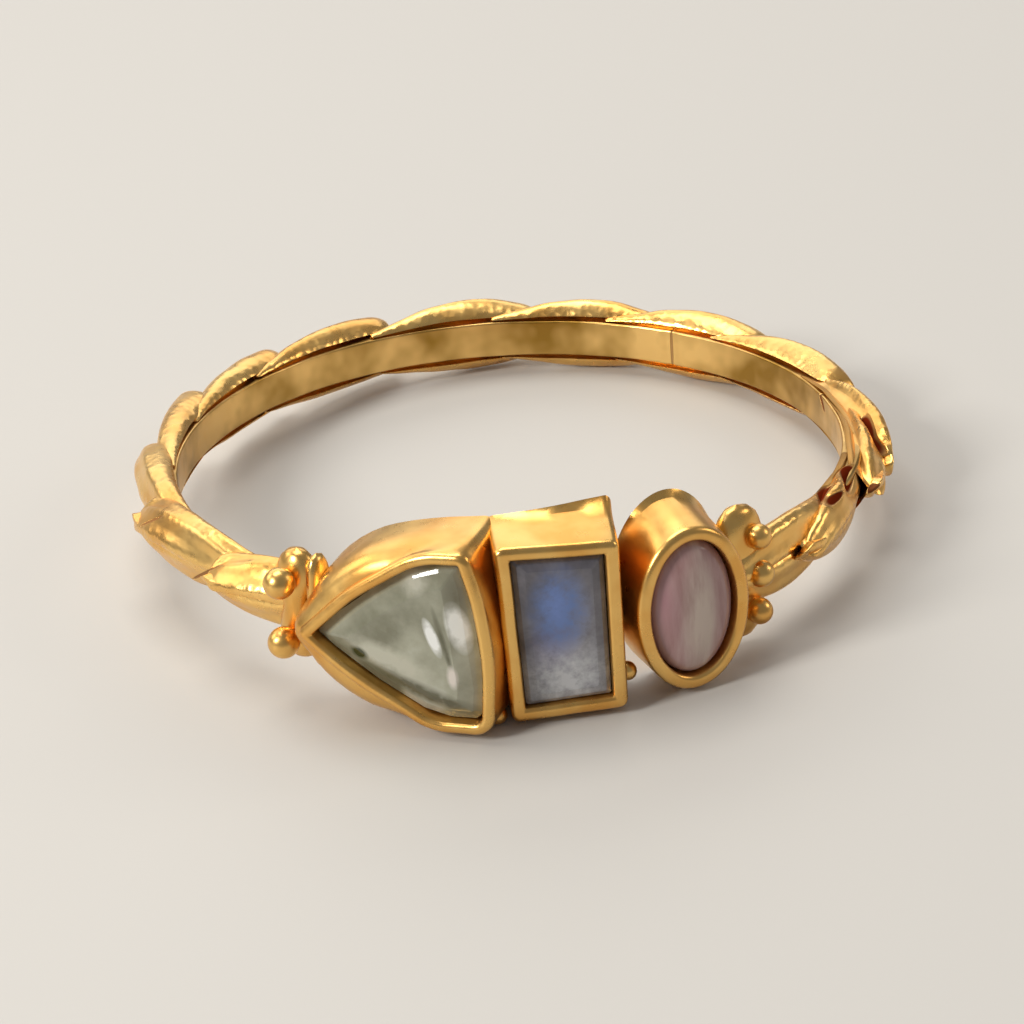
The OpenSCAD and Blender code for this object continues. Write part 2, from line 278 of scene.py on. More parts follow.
def satinGold(name, look, openings=()):
    # 18 carat yellow gold, cast, filed and tumbled: soft satin with faint dents, a fine grain, edges
    # polished by wear, painted shade in the hollows and in the openings between strands, and the dark line
    # of the solder seam
    material, tree, shader = newMaterial(name)
    shader.inputs["Metallic"].default_value = 1.0
    place = addNode(tree, "ShaderNodeTexCoord")
    inMm = addNode(tree, "ShaderNodeMapping", {"Scale": (1 / mm, 1 / mm, 1 / mm)},
                   {"Vector": place.outputs["Object"]})
    at = {"Vector": inMm.outputs["Vector"]}
    relief = addNode(tree, "ShaderNodeAttribute", {"attribute_name": "relief"}).outputs["Fac"]
    colour = goldColour(tree, at, look, relief)
    gloss = goldGloss(tree, at, look, relief)
    normal = goldSurface(tree, at, look, relief)
    if openings:
        mask = openingMask(tree, at, openings)
        # painted shade in the openings, and the seam's own dark line: dark, not metal, rough and pressed in
        shadeAndSeamMix = addNode(tree, "ShaderNodeMix", {"data_type": "RGBA", "B": toLinear(look["openingShadeAndSeam"])},
                        {"Factor": mask, "A": colour})
        bare = addNode(tree, "ShaderNodeMapRange", {"To Min": 1.0, "To Max": 0.0}, {"Value": mask})
        dull = addNode(tree, "ShaderNodeMath", {"operation": "MAXIMUM"}, {0: gloss, 1: mask})
        sunk = addNode(tree, "ShaderNodeBump", {"Strength": 0.7, "Distance": 0.1 * mm, "invert": True},
                       {"Height": mask, "Normal": normal})
        tree.links.new(bare.outputs["Result"], shader.inputs["Metallic"])
        tree.links.new(bare.outputs["Result"], shader.inputs["Specular IOR Level"])
        colour, gloss, normal = shadeAndSeamMix.outputs["Result"], dull.outputs["Value"], sunk.outputs["Normal"]
    tree.links.new(colour, shader.inputs["Base Color"])
    tree.links.new(gloss, shader.inputs["Roughness"])
    tree.links.new(normal, shader.inputs["Normal"])
    return material


gold = satinGold("satin_gold", goldLook)
leafGold = satinGold("tooled_leaf_gold", leafLook, leafOpenings)
hoopGold = satinGold("worn_hoop_gold", hoopLook, hoopOpenings)


def paintRelief(bm):
    # marks each point from hollow, 0, through flat, 0.5, to ridge, 1
    layer = bm.verts.layers.float.new("relief")
    bm.normal_update()
    values = {}
    for vert in bm.verts:
        spread = [(e.other_vert(vert).co - vert.co).normalized().dot(vert.normal) for e in vert.link_edges]
        values[vert] = -sum(spread) / max(1, len(spread))
    for _ in range(3):
        smoother = {}
        for vert in bm.verts:
            near = [values[e.other_vert(vert)] for e in vert.link_edges]
            smoother[vert] = (values[vert] + sum(near)) / (1 + len(near))
        values = smoother
    for vert in bm.verts:
        vert[layer] = max(0.0, min(1.0, 0.5 + 1.6 * values[vert]))


def finishPiece(bm, name, material, node, sharpDegrees=38, subdivisions=0):
    bmesh.ops.remove_doubles(bm, verts=bm.verts, dist=0.0005)
    bmesh.ops.recalc_face_normals(bm, faces=bm.faces)
    paintRelief(bm)
    bm.transform(ringPlace)
    # the unevenness of handwork never reaches past the box of the CAD shape
    for vert in bm.verts:
        vert.co = [min(max(c, low), high) for c, low, high in zip(vert.co, *cadBounds)]
    mesh = bpy.data.meshes.new(name)
    bm.to_mesh(mesh)
    bm.free()
    mesh.materials.append(material)
    mesh.shade_smooth()
    mesh.set_sharp_from_angle(angle=math.radians(sharpDegrees))
    piece = bpy.data.objects.new(name, mesh)
    scene.collection.objects.link(piece)
    if subdivisions:
        smoothing = piece.modifiers.new("smoothing", "SUBSURF")
        smoothing.levels = subdivisions
        smoothing.render_levels = subdivisions
    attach(piece, "root")
    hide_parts(node)
    print("built", name, len(mesh.polygons), "faces")


def roughen(verts, uneven, seed=0.0):
    # the small unevenness of handwork, from its depth and its spacing in millimetres
    depth, spacing = uneven
    shift = Vector((seed, seed * 0.37, -seed))
    for vert in verts:
        vert.co += noise.noise_vector(vert.co / spacing + shift) * depth


def clearBore(bm, radius):
    # keeps a piece behind the hoop's inner face, which runs on unbroken past it
    for vert in bm.verts:
        flat = vert.co.xy.length
        if flat < radius:
            vert.co.xy *= radius / flat


# Inner hoop
hoop = {
    "wall": 0.55,
    "width": 1.15,
    "step": 0.07,          # how far the inner lip lies below the hoop's edge
    "lip": 0.2,            # width of that lip
    "outerRound": 0.12,
    "innerRound": 0.06,
    "seam": (0.05, 0.12),  # depth and half width of the solder seam
    "uneven": (0.012, 1.3),
    "steps": 288,
}


def buildHoop(spec):
    bm = bmesh.new()
    half = spec["width"] / 2
    r0, r1 = boreRadius, boreRadius + spec["wall"]
    lip = half - spec["step"]
    lipEnd = r0 + spec["lip"]
    corners = [(r0, -lip), (lipEnd, -lip), (r1, -half), (r1, half), (lipEnd, lip), (r0, lip)]
    verts = [bm.verts.new((0, -r, z)) for r, z in corners]
    bm.faces.new(verts)
    for vert, reach in ((0, "innerRound"), (2, "outerRound"), (3, "outerRound"), (5, "innerRound")):
        bmesh.ops.bevel(bm, geom=[verts[vert]], offset=spec[reach], offset_type="OFFSET", affect="VERTICES",
                        segments=5, profile=0.5, material=-1)
    profile = bm.faces[:]
    bmesh.ops.spin(bm, geom=bm.edges[:], cent=(0, 0, 0), axis=(0, 0, 1), angle=math.tau,
                   steps=spec["steps"], use_merge=True)
    bmesh.ops.delete(bm, geom=[f for f in profile if f.is_valid], context="FACES_ONLY")
    # a shallow solder seam across the inner face
    seam = math.radians(seamAngle)
    deep, wide = spec["seam"]
    for vert in bm.verts:
        away = (math.atan2(vert.co.x, -vert.co.y) - seam) * boreRadius
        flat = Vector((vert.co.x, vert.co.y, 0))
        if flat.length < r0 + spec["wall"] / 2:
            vert.co += flat.normalized() * deep * math.exp(-(away / wide) ** 2)
    roughen(bm.verts, spec["uneven"])
    finishPiece(bm, "inner_hoop", hoopGold, goldNode)


# Leaf band. One row for each pair of leaves: angle of the tip, its distance from the finger axis,
# its height above the band's middle, share of the width, how far its face turns upward, the
# swell (or hollow) of the flank that runs from its crest down into the finger hole, and the
# share of the full bow.
leafBand = {
    "pairs": [
        (-49.0, 9.66, 0.00, 1.04, 42, 0.12, 1.0), (-75.0, 9.76, -0.02, 1.04, 42, 0.12, 1.0),
        (-95.5, 9.74, 0.26, 0.94, 30, 0.12, 0.4), (-116.5, 9.90, 0.34, 0.92, 20, 0.12, 0.2),
        (-135.8, 9.82, 0.38, 0.94, 15, 0.12, 0.2), (-157.0, 9.82, 0.36, 0.98, 15, 0.12, 0.45),
        (-183.0, 9.80, 0.10, 1.12, 15, 0.12, 1.0), (-205.5, 9.66, 0.06, 1.12, 22, 0.12, 1.0),
        (-226.5, 9.80, 0.10, 1.06, 15, 0.12, 1.0), (-248.0, 9.84, 0.10, 1.02, 12, 0.10, 1.0),
        (-272.5, 9.90, 0.08, 1.00, 6, -0.20, 1.0), (-284.0, 9.68, -0.14, 0.92, 38, -0.16, 1.0),
        (-308.0, 9.62, -0.08, 0.92, 32, -0.12, 1.0), (-323.0, 9.46, 0.12, 0.96, 15, 0.08, 1.0),
    ],
    "arc": 31.0,           # degrees round the ring from the foot of a leaf to its tip
    "halfWidth": 0.5,
    "halfThickness": 0.23,
    "baseRadius": 8.98,    # where the foot lies, under the leaf before it
    "baseRise": 0.2,
    "bow": 0.3,            # height of a full bow
    "arch": 1.4,           # above 1 moves the highest point of the bow toward the tip
    "stagger": 1.5,        # degrees that the lower leaf of a pair leads the upper one by
    "flankLift": 0.08,     # how far the flank's edge stands above the hoop halfway along the leaf
    "flankEnd": 9.0,       # distance from the finger axis where the flank ends under the tip
    # place along the leaf, share of the width, share of the thickness
    "outline": [(0.0, 0.45, 0.7), (0.16, 0.78, 0.9), (0.34, 1.0, 1.0), (0.54, 1.04, 1.0),
                (0.73, 0.98, 0.95), (0.89, 0.84, 0.8), (1.0, 0.62, 0.55)],
    "tipRound": 0.07,      # how far the corners of the tip fall back, as a share of the leaf
    # shares of the half thickness and of the half width
    "midrib": (0.07, 0.34),       # depth and half width of the groove along the middle
    "shoulder": (0.70, 0.62),     # how far the face falls away at its edges, and where that starts
    "undercut": (0.22, -0.01),    # step back under the leaf's edge, away from the finger and along it
    "undercutAt": 0.7,            # share of the way across the leaf where the step is
    "uneven": (0.025, 0.8),
    "cuts": (23, 7, 5),    # cuts of a leaf along it, across it and through its thickness
}


def leafPoint(spec, pair, t, u, v):
    # u runs across the leaf from the band's middle to its crest, v from the foot out to the face
    tip, tipRadius, tipRise, width, turn, swell, bowed = pair
    across = 2 * u - 1
    t -= spec["tipRound"] * abs(across) ** 2.2 * t ** 5
    radius = mix(spec["baseRadius"], tipRadius, t ** 1.25)
    rise = mix(spec["baseRise"], tipRise, t) + spec["bow"] * bowed * math.sin(math.pi * t ** spec["arch"])
    turned = math.radians(turn * math.sin(math.pi / 2 * t))
    thick = spec["halfThickness"] * fromTable(spec["outline"], t, 2)
    thick *= 1 - 0.25 * max(0.0, (t - 0.92) / 0.08)      # the tip is thinner still
    half = spec["halfWidth"] * width * fromTable(spec["outline"], t)
    outward = Vector((math.cos(turned), math.sin(turned)))
    sideways = Vector((-math.sin(turned), math.cos(turned)))

    def facePoint(a, out):
        return Vector((radius, rise)) + outward * thick * out + sideways * half * a

    def crown(a):
        depth, reach = spec["midrib"]
        drop, start = spec["shoulder"]
        groove = depth * max(0.0, 1 - abs(a) / reach) ** 1.5
        return 0.95 - groove - drop * max(0.0, (abs(a) - start) / (1 - start)) ** 2

    foot, start, crest = facePoint(-0.6, -0.9), facePoint(-1, crown(-1)), facePoint(1, crown(1))
    edge = Vector((mix(boreRadius + 0.02, spec["flankEnd"], t ** 4),
                   hoop["width"] / 2 - 0.03 + spec["flankLift"] * math.sin(math.pi * t)))
    # under the edge the leaf steps back, which leaves a dark line above the hoop
    knee, kneeAt = edge + Vector(spec["undercut"]), spec["undercutAt"]
    floor = foot.lerp(knee, u / kneeAt) if u < kneeAt else knee.lerp(edge, (u - kneeAt) / (1 - kneeAt))
    face, inner = facePoint(across, crown(across)), foot.lerp(start, v)
    flank = edge.lerp(crest, v) + Vector((0, swell * 4 * v * (1 - v)))
    corners = foot * (1 - u) * (1 - v) + edge * u * (1 - v) + start * (1 - u) * v + crest * u * v
    point = floor * (1 - v) + face * v + inner * (1 - u) + flank * u - corners
    return onRing(tip + spec["arc"] * (1 - t), point.x, point.y)


def leafBlank(spec):
    # a block cut into a grid, which every leaf is bent from
    bm = bmesh.new()
    bmesh.ops.create_cube(bm, size=2)
    for axis, cuts in enumerate(spec["cuts"]):
        along = [e for e in bm.edges if abs((e.verts[0].co - e.verts[1].co)[axis]) > 1.9]
        bmesh.ops.subdivide_edges(bm, edges=along, cuts=cuts, use_grid_fill=True)
    blank = bpy.data.meshes.new("leaf_blank")
    bm.to_mesh(blank)
    bm.free()
    return blank


def buildLeaves(spec):
    blank = leafBlank(spec)
    band = bmesh.new()
    lead = Matrix.Rotation(math.radians(-spec["stagger"]), 4, "Z")
    flip = lead @ Matrix.Scale(-1, 4, (0, 0, 1))
    for pair in spec["pairs"]:
        for lower in (False, True):
            band.from_mesh(blank)
            leaf = band.verts[-len(blank.vertices):]
            for vert in leaf:
                t, u, v = (vert.co + Vector((1, 1, 1))) / 2
                vert.co = leafPoint(spec, pair, t, u, v)
            if lower:
                bmesh.ops.transform(band, matrix=flip, verts=leaf)
    bpy.data.meshes.remove(blank)
    sinkOpenings(band, leafOpenings)
    roughen(band.verts, spec["uneven"], seed=3.1)
    finishPiece(band, "leaf_band", leafGold, goldNode, sharpDegrees=50, subdivisions=1)


# Collar lobes where the band meets the settings: angle, distance, height reached, half width
collars = {
    "lobes": [(-31.6, 9.26, 1.48, 0.60), (-27.4, 9.40, 1.52, 0.26), (40.6, 9.06, 1.80, 0.74)],
    "halfThickness": 0.42,
    "inside": 8.72,        # no closer to the finger axis than this
    # place from the middle to the tip, share of the width, share of the thickness
    "outline": [(0.0, 0.7, 1.0), (0.3, 0.95, 1.0), (0.55, 1.0, 0.95), (0.78, 0.84, 0.82),
                (0.93, 0.52, 0.56), (1.0, 0.02, 0.02)],
    "uneven": (0.02, 0.7),
}


def buildCollars(spec):
    bm = bmesh.new()
    for angle, radius, reach, half in spec["lobes"]:
        ball = bmesh.ops.create_uvsphere(bm, u_segments=32, v_segments=28, radius=1)["verts"]
        for vert in ball:
            flat = vert.co.xy.length
            side = vert.co.xy / flat if flat > 1e-6 else Vector((0, 0))
            t = math.sin(min(1.0, abs(vert.co.z)) * math.pi / 2)
            wide = half * fromTable(spec["outline"], t)
            thick = spec["halfThickness"] * fromTable(spec["outline"], t, 2)
            vert.co = (side.x * wide, side.y * thick, math.copysign(reach * t, vert.co.z))
        place = Matrix.Rotation(math.radians(angle), 4, "Z") @ Matrix.Translation((0, -radius, 0))
        bmesh.ops.transform(bm, matrix=place, verts=ball)
    roughen(bm.verts, spec["uneven"], seed=5.2)
    clearBore(bm, spec["inside"])
    finishPiece(bm, "collar_lobes", gold, goldNode, sharpDegrees=60)


# Gold balls: angle, distance of the centre, height, share of the diameter
granulation = {
    "diameter": 0.8,
    "balls": [
        (-31.8, 10.0, 0.8, 1.0), (-31.8, 10.0, -0.8, 1.0), (42.2, 9.54, 1.0, 0.82), (42.4, 9.56, 0.0, 0.86),
        (42.0, 9.55, -1.0, 0.84), (-0.2, 10.05, -2.15, 0.6), (18.8, 9.7, -1.5, 0.6),
    ],
    "uneven": (0.01, 0.5),
}


def buildGranules(spec):
    bm = bmesh.new()
    for angle, radius, height, size in spec["balls"]:
        bmesh.ops.create_icosphere(bm, subdivisions=4, radius=spec["diameter"] * size / 2,
                                   matrix=Matrix.Translation(onRing(angle, radius, height)))
    roughen(bm.verts, spec["uneven"], seed=9.4)
    finishPiece(bm, "granules", gold, goldNode, sharpDegrees=80)


# Bezel cups: direction, distances of the face and the back from the finger axis, wall at the rim,
# and corners as x, y, rounding
cups = {
    "triangle": {
        "angle": -16.7, "face": 10.6, "back": 8.69, "wall": 0.31,
        "corners": [(-1.92, -0.06, 0.2), (-0.68, -1.15, 7), (1.45, -2.36, 1.6), (3.05, -2.30, 0.55),
                    (3.26, 0.30, 8), (2.62, 2.52, 0.35), (1.31, 2.43, 2), (-0.55, 1.28, 7)],
        "skirt": [(-2.28, -0.10, 0.6), (-1.02, -2.12, 2.4), (1.45, -2.36, 1.6), (3.05, -2.30, 0.55),
                  (3.26, 0.30, 8), (2.60, 2.54, 0.35), (1.06, 2.50, 5.5), (-0.92, 1.96, 3)],
        # distance from the finger axis and share of the way out to the skirt
        "domed": [(9.0, 1.0), (9.4, 1.0), (9.7, 0.96), (9.95, 0.88), (10.12, 0.76), (10.27, 0.58),
                  (10.38, 0.34)],
    },
    "rectangle": {
        "angle": 8.6, "face": 10.3, "back": 8.70, "wall": 0.36,
        "corners": [(-1.20, -2.30, 0.22), (1.64, -2.14, 0.22), (1.58, 2.32, 0.22), (-1.44, 2.40, 0.22)],
        "skirt": [(-1.20, -2.30, 0.22), (1.64, -2.14, 0.22), (1.62, 2.82, 0.22), (-1.46, 2.52, 0.22)],
        "domed": [(8.85, 0.58), (9.3, 0.39), (9.8, 0.17)],
    },
    "oval": {
        "angle": 26.0, "face": 10.3, "back": 8.71, "wall": 0.36,
        "half": (1.50, 2.16), "centre": (0.36, 0.05), "sides": 72,
        "skirtHalf": (1.50, 2.36), "skirtCentre": (0.36, 0.25),
        "domed": [(8.85, 0.58), (9.3, 0.39), (9.8, 0.17)],
    },
}

# What the three cups share
cupShape = {
    "seat": 9.24,          # distance of the seats from the finger axis
    "outerRound": 0.17,    # rounding of the rim's outer and inner edge
    "innerRound": 0.11,
    "outerSteps": 4,
    "innerSteps": 3,
    "flatBack": 8.0,       # the back before it is bent
    "backCuts": 0.25,      # width of the strips that it is bent from
    "uneven": (0.014, 0.9),
    "trueBelow": 8.8,      # the handwork starts this far from the finger axis
}


def cornerSides(corners, i):
    # a corner's place, the directions of its two sides, and half the angle between them
    at = Vector(corners[i][:2])
    before = (Vector(corners[i - 1][:2]) - at).normalized()
    after = (Vector(corners[(i + 1) % len(corners)][:2]) - at).normalized()
    return at, before, after, math.acos(before.dot(after)) / 2


def insetCorners(corners, distance):
    # moves each side in by the distance and keeps the corner rounding parallel
    result = []
    for i, corner in enumerate(corners):
        at, before, after, half = cornerSides(corners, i)
        moved = at + (before + after).normalized() * (distance / math.sin(half))
        result.append((moved.x, moved.y, max(corner[2] - distance, 0.05)))
    return result


def cornerOutline(corners, segments, cuts):
    # rounds the corners of a flat face, cuts its straight sides, and gives its points in order
    bm = bmesh.new()
    verts = [bm.verts.new((x, y, 0)) for x, y, r in corners]
    bm.faces.new(verts)
    reaches = [corner[2] / math.tan(cornerSides(corners, i)[3]) for i, corner in enumerate(corners)]
    for vert, reach in zip(verts, reaches):
        bmesh.ops.bevel(bm, geom=[vert], offset=reach, offset_type="OFFSET", affect="VERTICES",
                        segments=segments, profile=0.5, material=-1, clamp_overlap=False)
    bm.faces.ensure_lookup_table()
    if cuts:
        edges = sorted(bm.faces[0].edges, key=lambda e: -e.calc_length())[:len(corners)]
        bmesh.ops.subdivide_edges(bm, edges=edges, cuts=cuts)
        bm.faces.ensure_lookup_table()
    points = [v.co.xy.copy() for v in bm.faces[0].verts]
    bm.free()
    start = min(range(len(points)), key=lambda i: points[i].x + 0.01 * points[i].y)
    return points[start:] + points[:start]


def ellipseOutline(half, centre, sides):
    bm = bmesh.new()
    ring = bmesh.ops.create_circle(bm, segments=sides, radius=1)["verts"]
    bmesh.ops.scale(bm, vec=(half[0], half[1], 1), verts=ring)
    points = [v.co.xy + Vector(centre) for v in ring]
    bm.free()
    return points


def outlineOf(spec, inset, skirtShare=0.0, segments=6, cuts=6):
    # a cup's outline at its rim, moved in, or blended part of the way out to its skirt
    if "half" in spec:
        points = ellipseOutline([h - inset for h in spec["half"]], spec["centre"], spec["sides"])
        skirt = ellipseOutline(spec["skirtHalf"], spec["skirtCentre"], spec["sides"])
    else:
        corners = insetCorners(spec["corners"], inset) if inset else spec["corners"]
        points = cornerOutline(corners, segments, cuts)
        skirt = cornerOutline(spec["skirt"], segments, cuts) if skirtShare else points
    return [mix(p, s, skirtShare) for p, s in zip(points, skirt)]


def stack(bm, levels):
    # extrudes one outline through the next, each given as its points and height, and closes both ends
    points, height = levels[0]
    ring = [bm.verts.new((p.x, p.y, height)) for p in points]
    bottom = bm.faces.new(ring)
    edges = bottom.edges[:]
    for points, height in levels[1:]:
        made = bmesh.ops.extrude_edge_only(bm, edges=edges)["geom"]
        fresh = {g for g in made if isinstance(g, bmesh.types.BMVert)}
        edges = [g for g in made if isinstance(g, bmesh.types.BMEdge)]
        ring = [next(e.other_vert(v) for e in v.link_edges if e.other_vert(v) in fresh) for v in ring]
        for vert, p in zip(ring, points):
            vert.co = (p.x, p.y, height)
    bm.faces.new(ring)


def buildCup(name, spec, shared):
    bm = bmesh.new()
    face, wall = spec["face"], spec["wall"]
    outer, inner, flatBack = shared["outerRound"], shared["innerRound"], shared["flatBack"]
    back = outlineOf(spec, 0, 1.0)
    levels = [(back, flatBack)] + [(outlineOf(spec, 0, share), height) for height, share in spec["domed"]]
    for step in range(shared["outerSteps"] + 1):
        a = math.pi / 2 * step / shared["outerSteps"]
        levels.append((outlineOf(spec, outer * (1 - math.cos(a))), face - outer * (1 - math.sin(a))))
    for step in range(shared["innerSteps"] + 1):
        a = math.pi / 2 * step / shared["innerSteps"]
        levels.append((outlineOf(spec, wall - inner * (1 - math.sin(a))), face - inner * (1 - math.cos(a))))
    levels.append((outlineOf(spec, wall), shared["seat"]))
    stack(bm, levels)
    # the back follows the finger hole, just behind the hoop's inner face
    x, end = min(p.x for p in back) + shared["backCuts"], max(p.x for p in back)
    while x < end:
        flat = [f for f in bm.faces if all(abs(v.co.z - flatBack) < 1e-4 for v in f.verts)]
        geom = flat + list({e for f in flat for e in f.edges}) + list({v for f in flat for v in f.verts})
        bmesh.ops.bisect_plane(bm, geom=geom, plane_co=(x, 0, 0), plane_no=(1, 0, 0))
        x += shared["backCuts"]
    for vert in bm.verts:
        if abs(vert.co.z - flatBack) < 1e-4:
            vert.co.z = math.sqrt(spec["back"] ** 2 - vert.co.x ** 2)
    roughen([v for v in bm.verts if v.co.z > shared["trueBelow"]], shared["uneven"], seed=spec["angle"])
    bm.transform(facing(spec["angle"]))
    finishPiece(bm, name + "_cup", gold, goldNode, sharpDegrees=32)


def layPatches(tree, spot, colour, veil, patches):
    # soft patches on a stone, broken up by the veil
    for middle, half, turn, tint, strength in patches:
        local = addNode(tree, "ShaderNodeMapping",
                        {"vector_type": "TEXTURE", "Location": (*middle, 0),
                         "Rotation": (0, 0, math.radians(turn)), "Scale": (*half, 1)}, {"Vector": spot})
        fade = addNode(tree, "ShaderNodeTexGradient", {"gradient_type": "SPHERICAL"},
                       {"Vector": local.outputs["Vector"]})
        broken = addNode(tree, "ShaderNodeMath", {"operation": "MULTIPLY"},
                         {0: fade.outputs["Fac"], 1: veil})
        share = addNode(tree, "ShaderNodeMath",
                        {"operation": "MULTIPLY", "use_clamp": True, 1: strength * 2},
                        {0: broken.outputs["Value"]})
        laid = addNode(tree, "ShaderNodeMix", {"data_type": "RGBA", "B": toLinear(tint)},
                       {"Factor": share.outputs["Value"], "A": colour})
        colour = laid.outputs["Result"]
    return colour


# Looks of the stones. Patches are middle and half sizes on the stone's face in millimetres, turn in
# degrees, colour, and strength.
quartzLook = {
    "roughness": 0.05,
    "clear": 0.2,          # share of the light that passes into the stone
    "paneMm": 1.053,       # width of the panes of painted reflection that the back facets show as
    "bendMm": 0.714,
    "cloudMm": 0.769,
    "tones": [(0.28, "#82806A"), (0.45, "#9D9C87"), (0.6, "#B1B09B"), (0.76, "#C8C6B5")],
    # painted light of the cut stone: reflections of its back facets, shade and glints
    "patches": [
        ((0.5, -0.5), (1.5, 0.42), -21, "#C9C6B2", 0.9),      # painted reflection of the lower row of back facets
        ((1.25, 1.6), (0.5, 0.36), 35, "#C9C6B4", 0.9),
        ((1.25, -1.28), (1.9, 0.3), -19, "#66634C", 1.0),     # painted shade along the lower edge
        ((-0.3, -0.42), (0.3, 0.22), -25, "#3F4427", 1.2),
        ((2.25, 1.35), (0.3, 0.75), 8, "#77745F", 0.8),
        ((1.9, 0.15), (0.1, 1.0), 14, "#66644E", 1.0),
        ((1.64, 0.22), (0.17, 0.58), 20, "#FFFFFA", 1.9),     # painted glints
        ((2.28, 0.5), (0.3, 0.76), 14, "#FFFFF8", 1.3),
        ((2.1, -0.8), (0.17, 0.36), 6, "#E6DCD0", 1.0),
    ],
}
labradoriteLook = {
    "roughness": 0.12,
    "cloudMm": 1.25,
    "speckleMm": 0.3125,
    "tones": [(0.32, "#4B494D"), (0.5, "#605D64"), (0.68, "#79767C")],
    "patches": [
        ((0.6, 0.2), (0.8, 1.6), 0, "#7E7C82", 0.9),
        ((-0.1, -0.45), (0.75, 1.0), 0, "#777392", 0.8),      # painted violet lower end of the flash
        ((0.2, -1.3), (1.5, 1.3), 0, "#BCBCBD", 0.85),        # pale end
        ((0.06, 0.62), (0.85, 1.3), 0, "#5F75A6", 1.1),       # painted blue flash, the sheen of the stone's layers
        ((0.0, 0.72), (0.4, 0.75), 0, "#6C84BE", 0.6),
    ],
}
pinkLook = {
    "roughness": 0.16,
    "streakMm": (0.4545, 2.222),  # width and length of a streak
    "tones": [(0.32, "#96706C"), (0.5, "#A78481"), (0.68, "#B59A94")],
    "patches": [
        # painted sheen down the middle of the dome
        ((0.45, -0.1), (0.55, 2.0), 0, "#C6B4A6", 1.0),
        ((-0.45, 0.4), (0.45, 1.5), 0, "#A87A80", 0.6),
    ],
}


def paleGreenQuartz(look):
    # prasiolite, cut and polished: clear grey-green, with the back facets' reflections painted through the
    # table as soft panes, and painted white glints
    material, tree, shader = newMaterial("pale_green_quartz")
    shader.inputs["Roughness"].default_value = look["roughness"]
    shader.inputs["IOR"].default_value = 1.55
    shader.inputs["Transmission Weight"].default_value = look["clear"]
    spot = addNode(tree, "ShaderNodeUVMap", {"uv_map": "stone_mm"}).outputs["UV"]
    bend = addNode(tree, "ShaderNodeTexNoise", {"Scale": 1 / look["bendMm"], "Detail": 2.0},
                   {"Vector": spot})
    bent = addNode(tree, "ShaderNodeMix", {"data_type": "VECTOR", "Factor": 0.18},
                   {"A": spot, "B": bend.outputs["Color"]})
    panes = addNode(tree, "ShaderNodeTexVoronoi",
                    {"Scale": 1 / look["paneMm"], "feature": "SMOOTH_F1", "Smoothness": 0.35},
                    {"Vector": bent.outputs["Result"]})
    cloud = addNode(tree, "ShaderNodeTexNoise",
                    {"Scale": 1 / look["cloudMm"], "Detail": 4.0, "Roughness": 0.6}, {"Vector": spot})
    level = addNode(tree, "ShaderNodeMix", {"Factor": 0.5},
                    {"A": panes.outputs["Color"], "B": cloud.outputs["Fac"]})
    tone = addNode(tree, "ShaderNodeValToRGB", colourSteps(look["tones"]), {"Fac": level.outputs["Result"]})
    veil = addNode(tree, "ShaderNodeMapRange", {"From Min": 0.2, "From Max": 0.6},
                   {"Value": cloud.outputs["Fac"]})
    colour = layPatches(tree, spot, tone.outputs["Color"], veil.outputs["Result"], look["patches"])
    tree.links.new(colour, shader.inputs["Base Color"])
    return material


def labradorite(look):
    # feldspar with fine layers, cut and polished: slate body, a painted blue flash for the sheen that its
    # layers throw back, and a paler, speckled end
    material, tree, shader = newMaterial("labradorite")
    shader.inputs["Roughness"].default_value = look["roughness"]
    shader.inputs["IOR"].default_value = 1.56
    spot = addNode(tree, "ShaderNodeUVMap", {"uv_map": "stone_mm"}).outputs["UV"]
    cloud = addNode(tree, "ShaderNodeTexNoise",
                    {"Scale": 1 / look["cloudMm"], "Detail": 4.0, "Roughness": 0.6, "Distortion": 0.4},
                    {"Vector": spot})
    tone = addNode(tree, "ShaderNodeValToRGB", colourSteps(look["tones"]), {"Fac": cloud.outputs["Fac"]})
    speckle = addNode(tree, "ShaderNodeTexNoise",
                      {"Scale": 1 / look["speckleMm"], "Detail": 5.0, "Roughness": 0.65}, {"Vector": spot})
    veil = addNode(tree, "ShaderNodeMapRange", {"From Min": 0.12, "From Max": 0.72},
                   {"Value": speckle.outputs["Fac"]})
    colour = layPatches(tree, spot, tone.outputs["Color"], veil.outputs["Result"], look["patches"])
    tree.links.new(colour, shader.inputs["Base Color"])
    return material


def pinkStone(look):
    # rose-coloured cabochon, domed and polished: silky streaks, and a painted paler sheen down the middle
    material, tree, shader = newMaterial("pink_cabochon_stone")
    shader.inputs["Roughness"].default_value = look["roughness"]
    shader.inputs["IOR"].default_value = 1.54
    spot = addNode(tree, "ShaderNodeUVMap", {"uv_map": "stone_mm"}).outputs["UV"]
    wide, long = look["streakMm"]
    stretch = addNode(tree, "ShaderNodeMapping", {"Scale": (1 / wide, 1 / long, 1)}, {"Vector": spot})
    silk = addNode(tree, "ShaderNodeTexNoise", {"Scale": 1.0, "Detail": 4.0, "Roughness": 0.6},
                   {"Vector": stretch.outputs["Vector"]})
    tone = addNode(tree, "ShaderNodeValToRGB", colourSteps(look["tones"]), {"Fac": silk.outputs["Fac"]})
    veil = addNode(tree, "ShaderNodeMapRange", {"From Min": 0.15, "From Max": 0.7},
                   {"Value": silk.outputs["Fac"]})
    colour = layPatches(tree, spot, tone.outputs["Color"], veil.outputs["Result"], look["patches"])
    tree.links.new(colour, shader.inputs["Base Color"])
    return material


